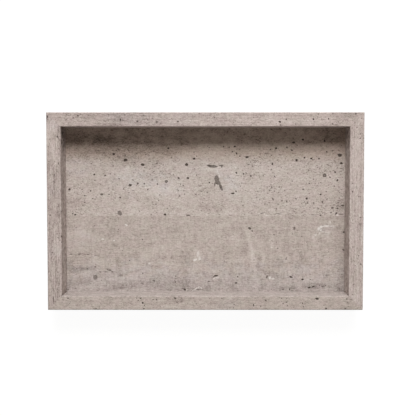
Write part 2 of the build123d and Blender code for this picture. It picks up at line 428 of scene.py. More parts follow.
FLOOR_PATCHES = patch_rows(
    # A stain under the back wall, with its lobes
    (-112, 84, 80, 24, -0.12), (-104, 65, 16, 8, -0.08), (-107, 56, 7, 7, -0.05),
    (-72, 62, 19, 13, -0.03, -6), (-70, 42, 8, 5, -0.04), (-140, 76, 10, 4, -0.08),
    (-137, 63, 12, 3, 0.06), (-73, 71, 10, 7, 0.06), (-162, 84, 8, 4, 0.05),
    # Clouds along the back wall
    (-150, 93, 40, 7, -0.12), (-125, 84, 14, 7, -0.08), (-110, 102, 8, 4, 0.1),
    (-128, 100, 12, 4, 0.05), (-178, 93, 8, 5, -0.08), (-96, 84, 9, 5, -0.05),
    (-69, 98, 5, 10, 0.1), (-52, 81, 16, 8, -0.09), (-44, 72, 6, 4, -0.06), (-16, 75, 8, 6, 0.05),
    (-15, 71, 6, 6, 0.05), (12, 76, 20, 9, 0.1), (38, 90, 7, 6, 0.08), (48, 92, 28, 5, 0.05),
    (66, 71, 7, 6, 0.09), (80, 96, 16, 5, -0.08), (92, 94, 16, 4, -0.05), (100, 75, 16, 4, 0.04),
    (137, 72, 8, 6, 0.06), (118, 103, 9, 4, 0.12), (162, 99, 16, 12, -0.16), (179, 92, 5, 8, -0.08),
    # The upper board's left half
    (-165, 26, 12, 5, 0.04), (-150, 50, 16, 7, -0.03), (-147, 29, 11, 2, -0.05, 38),
    (-172, 9, 15, 7, -0.12), (-150, 0, 20, 8, 0.02), (-103, 46, 14, 10, 0.06),
    (-104, 30, 24, 8, 0.08, 12), (-85, 38, 10, 4, 0.05), (-98, 16, 7, 4, 0.05),
    (-60, 29, 27, 12, 0.08, 4), (-54, 50, 5, 8, 0.05), (-36, 24, 22, 16, 0.07),
    (-91, 8, 6, 6, 0.07), (-79, 7, 10, 3, -0.06, -45), (-76, 15, 4, 4, -0.05), (-75, -4, 32, 4, 0.04),
    # The upper board's right half
    (14, 53, 6, 5, 0.07), (35, 40, 12, 21, 0.1), (49, 26, 9, 11, 0.04), (75, 54, 14, 4, 0.05),
    (68, 31, 16, 11, 0.04), (76, 18, 12, 9, 0.04), (90, 43, 9, 12, 0.05), (118, 9, 12, 8, 0.04),
    (127, 42, 14, 4, 0.05), (156, 56, 8, 8, 0.05), (160, 35, 18, 8, 0.03), (179, 33, 5, 12, 0.05),
    (34, -3, 10, 5, 0.06), (8, 4, 17, 5, -0.08), (112, -10, 6, 4, -0.06), (165, -12, 15, 4, -0.06),
    (176, 3, 10, 6, -0.1, 20), (4, 22, 7, 22, -0.03),
    # The lower board's left end: slanting bands, and spots in a loose grid
    (-158, -14, 12, 9, 0.05), (-180, -37, 5, 9, 0.1), (-120, -12, 20, 10, -0.05),
    (-162, -30, 11, 12, 0.06), (-124, -29, 8, 6, -0.05), (-178, -73, 8, 8, -0.1),
    (-155, -62, 7, 6, -0.06), (-142, -65, 9, 5, 0.07), (-163, -78, 17, 3.5, -0.13, 8),
    (-166, -95, 17, 4.5, -0.1, 14), (-155, -101, 24, 3.5, 0.05), (-160, -84, 18, 3, 0.05, 12),
    (-113, -101, 7, 5, -0.15), (-98, -101, 7, 4, -0.1), (-128, -105, 16, 3, -0.07),
    (-88, -86, 30, 3.5, 0.06, 8), (-90, -97, 16, 5, -0.05, -8), (-85, -102, 6, 5, 0.05),
    (-85, -76, 8, 5, 0.05), (-60, -95, 22, 11, -0.12), (-54, -92, 9, 5, 0.05),
    (-115, -67, 3, 7, -0.1), (-104, -67, 2.5, 5, -0.05), (-112, -85, 3, 4, -0.1),
    (-120, -47, 4, 5, -0.07), (-107, -46, 2.5, 5, -0.07), (-107, -76, 4, 5, 0.06),
    (-95, -74, 6, 5, 0.09), (-112, -49, 3, 5, 0.04), (-90, -60, 8, 7, -0.06), (-80, -62, 5, 5, 0.05),
    (-69, -52, 6, 5, 0.08), (-63, -42, 6, 4, 0.06), (-57, -30, 6, 13, 0.05), (-76, -16, 12, 5, 0.03),
    (-75, -26, 10, 4, 0.05), (-53, -51, 7, 6, 0.08), (-50, -70, 8, 4, 0.09), (-62, -62, 4, 6, -0.06),
    (-34, -44, 10, 4, 0.06), (-35, -48, 10, 4, 0.05), (-42, -29, 11, 6, -0.03),
    # The middle of the lower board: a dark square over the front rail, pale spots
    (-27, -74, 6, 26, -0.06), (-20, -54, 3.5, 8, -0.05), (-30, -98, 18, 8, -0.06),
    (-24, -107, 6, 5, -0.06), (-10, -60, 6, 9, 0.07), (5, -70, 5, 9, 0.05), (3, -103, 8, 4, -0.1),
    (17, -95, 7, 6, -0.05), (27, -60, 8, 10, -0.05), (39, -42, 9, 8, 0.12), (36, -46, 3, 3, -0.04),
    (49, -49, 5, 10, -0.06), (42, -65, 13, 4, 0.05), (19, -66, 4, 5, 0.04), (33, -100, 6, 6, -0.08),
    (32, -92, 5, 4, 0.05), (45, -86, 4, 8, -0.06), (38, -78, 36, 4, 0.04),
    # The lower board's right end: upright bands
    (57, -40, 4, 14, 0.12, 14), (62, -60, 4, 12, 0.15, 8), (76, -54, 8, 4, -0.03), (84, -66, 9, 4, 0.05),
    (89, -73, 8, 3, -0.05), (90, -87, 16, 10, -0.08), (105, -40, 5, 10, -0.04), (115, -43, 6, 5, 0.05),
    (140, -57, 12, 9, 0.05), (157, -71, 5, 4, -0.05), (169, -89, 6, 6, 0.06), (178, -102, 6, 12, -0.1),
    (67, -90, 3.5, 20, 0.06, 3), (71, -45, 4, 8, 0.06), (86, -43, 5, 7, 0.08), (76, -63, 4, 6, 0.08),
    (69.5, -67, 2.5, 10, -0.08), (84, -67, 4, 17, -0.04, 8), (95, -68, 6, 5, -0.07),
    (109, -51, 3, 13, -0.07, 18), (126, -67, 4, 10, -0.06), (125, -78, 46, 5, 0.05),
    (137, -91, 12, 5, 0.05), (165, -64, 9, 7, 0.05), (141, -40, 4, 11, 0.07, 20),
    (148, -55, 3, 12, 0.05, 8), (158, -31, 9, 5, 0.04), (152, -45, 2.5, 10, -0.06),
    (144, -100, 15, 3.5, -0.15), (115, -102, 7, 5, -0.12), (101, -103, 5, 4, -0.09),
    (76, -99, 3.5, 9, -0.08), (158, -85, 5, 5, -0.06),
)

# Where the floor's colour is cooler
COOL_PATCHES = patch_rows(
    (-102, 42, 22, 11, 0.9, 15), (-60, 34, 28, 14, 1.0, -8), (-98, 20, 6, 6, 0.6),
    (-10, 56, 12, 10, 0.5), (24, 48, 13, 8, 0.7), (33, 32, 14, 16, 0.8, 20), (-168, 58, 20, 13, 1.0),
    (156, -27, 11, 7, 0.7, 25), (-162, -36, 18, 14, 0.5), (-160, -87, 18, 6, 0.5, 10),
    (65, 14, 14, 8, 0.3),
)

# The rim's larger marks, as distance along the rail and in from its outer edge
RIM_MARKS = {
    "back": [
        pit(-159.9, 4.5, 1.2, tone=0.75),
        pit(-121.8, 3.2, 0.8, 2, 90, 0.2, 0.5),
        pit(-106.5, 9.4, 0.9, 2.2, 90, 0.3, 0.7),
        chip(-107, 14.6, 1.3, 1.3, 0, 0.1, 0.35),
        pit(-85.4, 11.2, 1.3),
        pit(-61, 12.2, 1.2, 1.3, tone=0.7),
        pit(-56.2, 14, 0.9, tone=0.55),
        pit(-34.4, 11.6, 1.2, 1.2, tone=0.75),
        pit(-29.4, 15.2, 0.9, tone=0.5),
        pit(-7.4, 1.4, 0.9, tone=0.55),
        pit(93.6, 12, 1.3, 1.4),
        pit(94.4, 16, 0.9, 1.4, tone=0.6),
        pit(101.6, 8.8, 1.0, tone=0.85),
        pit(113.2, 14.8, 0.9, tone=0.55),
        pit(135.8, 8.8, 1.3, tone=1.0),
        pit(146, 8.8, 0.8, tone=0.5),
        pit(154.7, 8.3, 1.0, tone=0.8),
        pit(160, 1.4, 0.9, 1.3, tone=0.7),
        pit(159.8, 15, 1.0, tone=0.6),
        pit(189, 1.9, 1.1, tone=0.95),
    ],
    "front": [
        pit(-174.3, 15, 1.1, 1.1, tone=0.8),
        pit(-172.3, 8.5, 0.9, 1.6, 40, 0.2, 0.5),
        pit(-138.5, 1.4, 0.9, tone=0.65),
        pit(-87.3, 14.9, 0.7, tone=0.6),
        pit(-85.2, 12, 0.8, tone=0.7),
        pit(-82, 14.7, 1.0, 1.3, tone=0.75),
        pit(-79.6, 9, 1.4),
        pit(-77.3, 6, 0.9, tone=0.8),
        pit(-78.1, 1.4, 1.0, 1.3, tone=0.9),
        pit(-66.4, 13.1, 0.9, tone=0.75),
        pit(-61.8, 12.9, 1.0, tone=0.85),
        pit(-38.3, 14.7, 1.2, 1.1),
        chip(-31, 12.4, 1.0, 6, -4, 0.08, 0.3),
        pit(20.9, 14.8, 1.0, tone=0.65),
        pit(36.5, 6.8, 0.9, tone=0.7),
        pit(35.7, 2.6, 0.7, 1.8, 90, 0.2, 0.65),
        pit(31.1, 2.6, 0.7, 1.8, 90, 0.2, 0.45),
        pit(61.3, 6, 0.8, 2.3, 90, 0.25, 0.9),
        pit(70.3, 4.8, 0.9, tone=0.7),
        chip(76.7, 12, 1.3, 1.1, 0, 0.2, 0.65),
        pit(96.9, 14.8, 0.8, tone=0.8),
        pit(96.9, 10.6, 0.7, tone=0.6),
        pit(103.3, 14.6, 0.8, tone=0.65),
        pit(103.1, 9.8, 1.0, tone=0.85),
        pit(104.2, 5.4, 0.8, tone=0.75),
        pit(124.4, 4, 0.9, tone=0.75),
        pit(141.8, 14.3, 1.35, 2.1, 0, 0.25, 1.0),
        pit(153.3, 1.5, 1.3, 1.1),
        pit(177.6, 1.4, 1.1, 1.3, tone=0.9),
        pit(179.4, 14, 1.0, tone=0.8),
        pit(180.5, 9.4, 0.9, 1.6, 90, 0.2, 0.5),
        pit(185.1, 12.9, 1.1, tone=0.35),
    ],
    "left": [
        pit(119.4, 1.2, 1.5, 1.5, 0, 0.3, 1.0),
        pit(94.2, 13.9, 1.1, tone=0.95),
        pit(60.8, 15.1, 0.8, 2.2, 0, 0.2, 0.75),
        pit(24, 7.3, 0.6, 8, 0, 0.1, 0.55),
        pit(6.6, 9.8, 0.5, 5.8, 0, 0.08, 0.4),
        pit(0, 19.5, 1.2, 2, 90, 0.3, 0.85),
        pit(-4.4, 4.1, 1.0, tone=0.75),
        pit(-28.2, 12.6, 0.8, tone=0.45),
        pit(-31.7, 20, 1.2, 2.4, 90, 0.3, 0.95),
        pit(-35.9, 16, 0.8, tone=0.6),
        pit(-38.8, 20, 1.2, 2.4, 90, 0.3, 0.9),
        pit(-66, 6.1, 0.6, 9, 0, 0.08, 0.4),
        pit(-82, 9.9, 0.5, 6, 0, 0.08, 0.45),
        pit(-93, 13.5, 0.5, 22, 0, 0.08, 0.45),
        pit(-100, 7.2, 0.45, 12, 0, 0.08, 0.4),
        pit(-112.5, 7.3, 0.65, 8, 0, 0.15, 0.85),
    ],
    "right": [
        pit(117.4, 3.8, 0.8, tone=0.6),
        pit(105.8, 9.3, 0.9, tone=0.45),
        pit(35.8, 14.4, 0.9, tone=0.6),
        pit(30.5, 9.6, 0.5, 6.2, 0, 0.08, 0.4),
        pit(25.2, 14.5, 0.8, 1.8, tone=0.75),
        pit(-5.6, 10.9, 0.8, tone=0.6),
        chip(-16.2, 4.3, 2.0, 1.2, 90, 0.1, 0.4),
        pit(-47.3, 9.3, 0.7, tone=0.35),
        pit(-56, 6.3, 0.8, 1.2, 0, 0.2, 0.65),
        pit(-60.4, 15.6, 0.7, tone=0.35),
        pit(-66.6, 3.3, 1.1, 1.1, 50, 0.2, 0.75),
    ],
}

# The rails' broad patches, placed in the same way: beyond the rim they run on down the inner face
RIM_PATCHES = {
    "back": patch_rows(
        (-112, 9, 56, 16, -0.07), (-96, 9, 8, 4, 0.06), (-57, 6, 14, 8, -0.05),
        (83, 10, 9, 8, 0.06), (118, 7, 12, 8, -0.06), (180, 6, 20, 9, -0.09),
    ),
    "front": patch_rows(
        (-153, 7, 14, 5, -0.05), (-33, 12, 12, 2.5, -0.07), (1, 5, 10, 6, 0.04),
        (97, 4, 10, 4, -0.04), (182, 10, 6, 7, -0.06),
    ),
    "left": patch_rows(
        # The first patch is painted shadow: the back wall's shade on the inner face near the back corner
        (98, 36, 18, 26, -0.34), (95, 9, 18, 14, 0.10), (76, 30, 8, 12, -0.05), (48, 9, 10, 12, -0.07),
        (38, 13, 8, 5, -0.05), (-56, 10, 7, 3, -0.04), (-88, 10, 6, 3, -0.06), (-104, 46, 8, 10, -0.12),
    ),
    "right": patch_rows(
        # The first patch is painted shadow: the back wall's shade on the inner face near the back corner
        (98, 36, 16, 26, -0.2), (91, 12, 10, 7, 0.06), (10, 44, 9, 8, -0.07),
        (-17, 16, 10, 4, 0.09), (-82, 6, 12, 8, -0.08),
    ),
}

# How strongly each rail is streaked, how much lighter or darker its board is, how
# much painted light makes its inner face lighter than its rim, and its cast
RAIL_STREAKS = {"front": 0.15, "right": 0.3, "back": 0.22, "left": 0.36}
RAIL_LIFTS = {"front": -0.02, "right": 0.01, "back": -0.025, "left": -0.035}
INNER_FACE_PAINTED_LIGHT = {"front": 0.01, "right": 0.07, "back": 0.0, "left": 0.07}
RAIL_CASTS = {
    "front": (1.0, 0.995, 0.99),
    "right": (1.0, 0.983, 1.0),
    "back": (1.0, 0.978, 0.995),
    "left": (1.0, 0.983, 1.0),
}

SIDE_FACINGS = {"front": (0, -1), "right": (1, 0), "back": (0, 1), "left": (-1, 0)}


def mark_level(mark, u, v, wobble):
    """How far each point is down a mark, 1 on its flat bottom and 0 from its rim outwards, and how dark."""
    turn = math.radians(mark.angle)
    along = ((u - mark.u) * math.cos(turn) + (v - mark.v) * math.sin(turn)) / mark.stretch
    across = (v - mark.v) * math.cos(turn) - (u - mark.u) * math.sin(turn)
    bearing = np.arctan2(across, along)
    rim = mark.radius * (1 + sum(size * np.cos(k * bearing + phase) for k, size, phase in wobble))
    inward = 1 - np.hypot(along, across) / rim
    share = np.clip(inward / SIDE_SHARE, 0, 1)
    level = share * share * (3 - 2 * share)
    middle = np.clip((inward - PALER_START_SHARE) / PALER_WIDTH_SHARE, 0, 1)
    return level, level * (1 - mark.paler * middle)


def mark_points(mark, wobble):
    """Rings of points that carry a mark's shape, from its middle to just outside its rim."""
    turn = math.radians(mark.angle)
    girth = math.tau * mark.radius * math.sqrt(mark.stretch)
    count = max(RING_LEAST, min(RING_MOST, round(girth / RING_STEP)))
    points = [(mark.u, mark.v)]
    for share in RING_SHARES:
        for i in range(count):
            bearing = math.tau * i / count
            rim = 1 + sum(size * math.cos(k * bearing + phase) for k, size, phase in wobble)
            reach = mark.radius * rim * share
            along = reach * math.cos(bearing) * mark.stretch
            across = reach * math.sin(bearing)
            points.append((
                mark.u + along * math.cos(turn) - across * math.sin(turn),
                mark.v + along * math.sin(turn) + across * math.cos(turn),
            ))
    return points


def scatter(rng, count, u_range, v_range, radii, taken):
    """Small pits at random places, clear of the marks in taken."""
    marks = []
    while len(marks) < count:
        u = rng.uniform(*u_range)
        v = rng.uniform(*v_range)
        radius = radii[0] + (radii[1] - radii[0]) * rng.random() ** 2
        mark = pit(
            u, v, radius, rng.uniform(*PIT_STRETCHES), rng.uniform(0, 180),
            radius * PIT_DEPTH_SHARE, rng.uniform(*PIT_TONES),
        )
        reach = radius * mark.stretch
        clear = all(
            math.hypot(u - other.u, v - other.v) > PIT_SPACING * (reach + other.radius * other.stretch)
            for other in taken + marks
        )
        if clear:
            marks.append(mark)
        elif rng.random() < STOP_CHANCE:
            break
    return marks


def wobbles(rng, marks):
    """How each mark's rim wanders in and out, as (waves round it, size, phase)."""
    return [
        [(k, rng.uniform(WOBBLE_LEAST, WOBBLE_MOST / k), rng.uniform(0, math.tau)) for k in RIM_WAVES]
        for _ in marks
    ]


def triangulate(border, lines, rings, points):
    """Points and triangles that fill a border, keep its lines and leave its rings open."""
    places = [Vector(point) for point in border]
    edges = []
    for start, end in lines:
        edges.append((len(places), len(places) + 1))
        places += [Vector(start), Vector(end)]
    for ring in rings:
        first = len(places)
        places += [Vector(point) for point in ring]
        edges += [(first + i, first + (i + 1) % len(ring)) for i in range(len(ring))]
    places += [Vector(point) for point in points]
    out = delaunay_2d_cdt(places, edges, [list(range(len(border)))], 1, SAME_POINT)
    flat = np.array([tuple(place) for place in out[0]])
    triangles = np.array([tuple(face) for face in out[2]])
    for ring in rings:
        middle = np.mean(np.array(ring), axis=0)
        reach = math.dist(ring[0], middle)
        away = flat[triangles].mean(axis=1) - middle
        triangles = triangles[np.hypot(away[:, 0], away[:, 1]) > reach]
    return flat, triangles.tolist()


def loop_indices(flat, loop):
    """Where the points of a loop are among the points of a sheet."""
    return [int(np.argmin(np.hypot(flat[:, 0] - u, flat[:, 1] - v))) for u, v in loop]


def patch_levels(patches, u, v):
    """How much soft-edged ovals lift each point, with their outlines wandering by a millimetre or two."""
    drift = np.array([
        noise.noise_vector(Vector((x / DRIFT_CELL, y / DRIFT_CELL, 0))) for x, y in zip(u, v)
    ])
    u = u + drift[:, 0] * DRIFT
    v = v + drift[:, 1] * DRIFT
    total = np.zeros(len(u))
    for at in patches:
        turn = math.radians(at.turn)
        along = ((u - at.x) * math.cos(turn) + (v - at.y) * math.sin(turn)) / at.long
        across = ((v - at.y) * math.cos(turn) - (u - at.x) * math.sin(turn)) / at.wide
        total += at.lift * np.exp(-np.hypot(along, across) ** 3)
    return total


def skin(
    name, border, lines, rings, marks, place, thickness, seed,
    extra_points=(), groove=None, patches=(), cool_patches=(),
):
    """A closed sheet with marks sunk into its outer face.

    place turns arrays of u, v and depth into an array of points. The sheet keeps
    four numbers at each point of its outer face: hollow where it is dark and sunk,
    scuff where it is rubbed pale, tone for its light and dark patches and cool for
    its cooler ones.
    """
    rng = random.Random(seed)
    wobble = wobbles(rng, marks)
    points = list(extra_points)
    for mark, waves in zip(marks, wobble):
        points += mark_points(mark, waves)
    outer, outer_faces = triangulate(border, lines, rings, points)
    inner, inner_faces = triangulate(border, lines, rings, ())

    u, v = outer[:, 0], outer[:, 1]
    depth = np.zeros(len(outer))
    hollow = np.zeros(len(outer))
    pale = np.zeros(len(outer))
    for mark, waves in zip(marks, wobble):
        reach = mark.radius * mark.stretch * REACH_SHARE
        near = (abs(u - mark.u) < reach) & (abs(v - mark.v) < reach)
        level, shade = mark_level(mark, u[near], v[near], waves)
        depth[near] = np.maximum(depth[near], level * mark.depth)
        hollow[near] = np.maximum(hollow[near], shade * max(mark.tone, 0))
        pale[near] = np.maximum(pale[near], shade * max(-mark.tone, 0))
    if groove:
        depth = np.maximum(depth, groove(u, v))

    back = place(inner[:, 0], inner[:, 1], np.full(len(inner), thickness))
    vertices = np.vstack([place(u, v, depth), back])
    shift = len(outer)
    faces = list(outer_faces) + [tuple(shift + i for i in reversed(face)) for face in inner_faces]
    for loop in [border, *rings]:
        upper = loop_indices(outer, loop)
        lower = [shift + i for i in loop_indices(inner, loop)]
        for i in range(len(loop)):
            j = (i + 1) % len(loop)
            faces.append((upper[i], upper[j], lower[j], lower[i]))

    mesh = bpy.data.meshes.new(name)
    mesh.from_pydata((vertices * MM).tolist(), [], faces)
    kept = {
        "hollow": hollow,
        "scuff": pale,
        "tone": patch_levels(patches, u, v),
        "cool": patch_levels(cool_patches, u, v),
    }
    for attribute, values in kept.items():
        store = mesh.attributes.new(attribute, "FLOAT", "POINT")
        store.data.foreach_set("value", np.concatenate([values, np.zeros(len(inner))]))
    shaped = bmesh.new()
    shaped.from_mesh(mesh)
    bmesh.ops.recalc_face_normals(shaped, faces=shaped.faces)
    shaped.to_mesh(mesh)
    shaped.free()
    mesh.shade_smooth()
    mesh.set_sharp_from_angle(angle=math.radians(SHARP_ANGLE))
    piece = bpy.data.objects.new(name, mesh)
    bpy.context.scene.collection.objects.link(piece)
    return piece


def wrap_profile():
    """The wrap's outer line: rows of distance along it, place inwards and up, and outward normal."""
    corners = [
        (REBATE_WALL, RAIL_BOTTOM),
        (0, RAIL_BOTTOM),
        (0, RIM),
        (RAIL_THICKNESS, RIM),
        (RAIL_THICKNESS, FLOOR),
    ]
    rows = []
    travelled = 0.0
    for i in range(len(corners) - 1):
        start = Vector(corners[i])
        end = Vector(corners[i + 1])
        way = (end - start).normalized()
        normal = Vector((-way.y, way.x))
        first = start + way * (ARRIS_RADIUS if i > 0 else 0)
        last_run = i == len(corners) - 2
        last = end - way * (0 if last_run else ARRIS_RADIUS)
        run = (last - first).length
        stops = [0, GUARD, run - GUARD, run] if i > 0 else [0, run - GUARD, run]
        if last_run:
            stops = [0, GUARD, run]
        for stop in stops:
            at = first + way * stop
            rows.append((travelled + stop, at.x, at.y, normal.x, normal.y))
        travelled += run
        if not last_run:
            centre = last - normal * ARRIS_RADIUS
            for step in range(1, ARC_STEPS):
                turn = math.pi / 2 * step / ARC_STEPS
                spoke = normal * math.cos(turn) + way * math.sin(turn)
                at = centre + spoke * ARRIS_RADIUS
                rows.append((travelled + turn * ARRIS_RADIUS, at.x, at.y, spoke.x, spoke.y))
            travelled += math.pi / 2 * ARRIS_RADIUS
    return np.array(rows)


def rail_skin(side):
    """One rail's wrap. v runs round its section and u along the rail."""
    rows = wrap_profile()
    facing = Vector((*SIDE_FACINGS[side], 0))
    along = Vector((-facing.y, facing.x, 0))
    lengthwise = side in ("front", "back")
    half_run = HALF_LENGTH if lengthwise else HALF_WIDTH
    stand_off = HALF_WIDTH if lengthwise else HALF_LENGTH
    outward, onward, upward = (np.array(way) for way in (facing, along, Vector((0, 0, 1))))

    def half_span(inwards):
        return half_run - inwards - MITRE_GAP / math.sqrt(2)

    def place(u, v, depth):
        x, z, nx, nz = (np.interp(v, rows[:, 0], rows[:, k]) for k in (1, 2, 3, 4))
        sunk_x = x - nx * depth
        sunk_z = z - nz * depth
        run = u * half_span(sunk_x) / half_span(x)
        return np.outer(stand_off - sunk_x, outward) + np.outer(run, onward) + np.outer(sunk_z, upward)

    spans = [(half_span(row[1]), row[0]) for row in rows]
    border = [(-span, v) for span, v in spans] + [(span, v) for span, v in reversed(spans)]
    lines = [((-span, v), (span, v)) for span, v in spans[1:-1]]

    # v where the outer face, the rim and the inner face begin and end
    outer_face = [row[0] for row in rows if row[3] < -FLAT]
    rim_face = [row[0] for row in rows if row[4] > FLAT]
    inner_face = [row[0] for row in rows if row[3] > FLAT]
    towards = 1 if side in ("front", "right") else -1
    rim_start = rim_face[0] - ARRIS_RADIUS
    marks = [mark._replace(u=mark.u * towards, v=rim_start + mark.v) for mark in RIM_MARKS[side]]
    patches = [at._replace(x=at.x * towards, y=rim_start + at.y) for at in RIM_PATCHES[side]]
    rng = random.Random(f"{side} rail")
    shortest = half_span(RAIL_THICKNESS)
    levels = []
    for face, density, row_count in zip((outer_face, rim_face, inner_face), RAIL_PIT_DENSITIES, FACE_ROWS):
        reach = (half_span(0) if face is outer_face else shortest) - RAIL_PIT_MARGIN
        span = (face[0] + RAIL_PIT_MARGIN, face[-1] - RAIL_PIT_MARGIN)
        marks += scatter(rng, round(density * half_run), (-reach, reach), span, RAIL_PIT_RADII, marks)
        levels += list(np.linspace(face[0], face[-1], row_count)[1:-1])
    grid = [(u, v) for u in np.arange(FACE_STEP - shortest, shortest, FACE_STEP) for v in levels]
    grid += [(u, v) for u in np.arange(ROW_STEP - shortest, shortest, ROW_STEP) for v in rows[1:-1, 0]]
    piece = skin(
        f"{side}_rail_decor", border, lines, (), marks, place,
        WRAP_THICKNESS, f"{side} skin", grid, patches=patches,
    )
    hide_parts(f"{side}_rail_wrap")
    return piece


def screw_axes():
    """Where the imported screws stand: the places of their tips."""
    mesh = frame["nodes"]["panel_screws"].data
    top = max(vertex.co.z for vertex in mesh.vertices)
    tips = {
        (round(vertex.co.x / MM, 2), round(vertex.co.y / MM, 2))
        for vertex in mesh.vertices
        if vertex.co.z > top - SCREW_HOLE_RADIUS * MM / 100
    }
    return sorted(tips)


def floor_skin():
    """The floor's decor laminate, with the screws' holes under the rails."""
    half_x, half_y = laminate_high.x, laminate_high.y
    seam_rows = (SEAM - SEAM_HALF_WIDTH, SEAM, SEAM + SEAM_HALF_WIDTH)
    border = [
        (-half_x, -half_y), (half_x, -half_y),
        *((half_x, v) for v in seam_rows),
        (half_x, half_y), (-half_x, half_y),
        *((-half_x, v) for v in reversed(seam_rows)),
    ]
    lines = [((-half_x, v), (half_x, v)) for v in seam_rows]
    rings = [
        [
            (
                x + SCREW_HOLE_RADIUS * math.cos(math.tau * i / HOLE_POINTS),
                y + SCREW_HOLE_RADIUS * math.sin(math.tau * i / HOLE_POINTS),
            )
            for i in range(HOLE_POINTS)
        ]
        for x, y in screw_axes()
    ]

    def place(u, v, depth):
        return np.column_stack([u, v, FLOOR - depth])

    def groove(u, v):
        return SEAM_DEPTH * np.clip(1 - abs(v - SEAM) / SEAM_HALF_WIDTH, 0, 1)

    rng = random.Random("floor pits")
    inside_x = HALF_LENGTH - RAIL_THICKNESS - FLOOR_MARGIN
    inside_y = HALF_WIDTH - RAIL_THICKNESS - FLOOR_MARGIN
    along = (-inside_x, inside_x)
    upper = (SEAM + SEAM_MARGIN, inside_y - BACK_MARGIN)
    lower = (-inside_y, SEAM - SEAM_MARGIN)
    marks = list(FLOOR_MARKS)
    marks += scatter(rng, UPPER_PITS, along, upper, UPPER_PIT_RADII, marks)
    marks += scatter(rng, LOWER_PITS, along, lower, LOWER_PIT_RADII, marks)
    columns = np.arange(-inside_x, inside_x, FLOOR_STEP)
    grid = [(u, v) for u in columns for v in np.arange(-inside_y, inside_y, FLOOR_STEP) if abs(v - SEAM) > 1]
    grid += [(u, v) for u in np.arange(ROW_STEP - half_x, half_x, ROW_STEP) for v in seam_rows]
    piece = skin(
        "floor_decor", border, lines, rings, marks, place,
        laminate_high.z - laminate_low.z, "floor skin", grid, groove, FLOOR_PATCHES, COOL_PATCHES,
    )
    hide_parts("floor_laminate")
    return piece


# Where a material's dark, middle and light colours stand, and how much of a speck is full
TONE_STOPS = (0.1, 0.5, 0.9)
SPECK_CORE_SHARE = 0.6


class Nodes:
    """A tree of shader nodes."""

    def __init__(self, tree):
        self.nodes = tree.nodes
        self.links = tree.links

    def node(self, kind, inputs=None, **settings):
        """Adds a node, with its settings, and links or sets its inputs."""
        made = self.nodes.new(kind)
        for setting, value in settings.items():
            setattr(made, setting, value)
        for key, value in (inputs or {}).items():
            if isinstance(value, bpy.types.NodeSocket):
                self.links.new(value, made.inputs[key])
            else:
                made.inputs[key].default_value = value
        return made

    def math(self, operation, a, b=0.0, c=0.0):
        return self.node("ShaderNodeMath", {0: a, 1: b, 2: c}, operation=operation).outputs[0]

    def times(self, a, b):
        return self.math("MULTIPLY", a, b)

    def smooth(self, value, low, high, to_low=0.0, to_high=1.0):
        """value carried from low..high to to_low..to_high, with soft ends."""
        inputs = {0: value, 1: low, 2: high, 3: to_low, 4: to_high}
        return self.node("ShaderNodeMapRange", inputs, interpolation_type="SMOOTHSTEP").outputs[0]


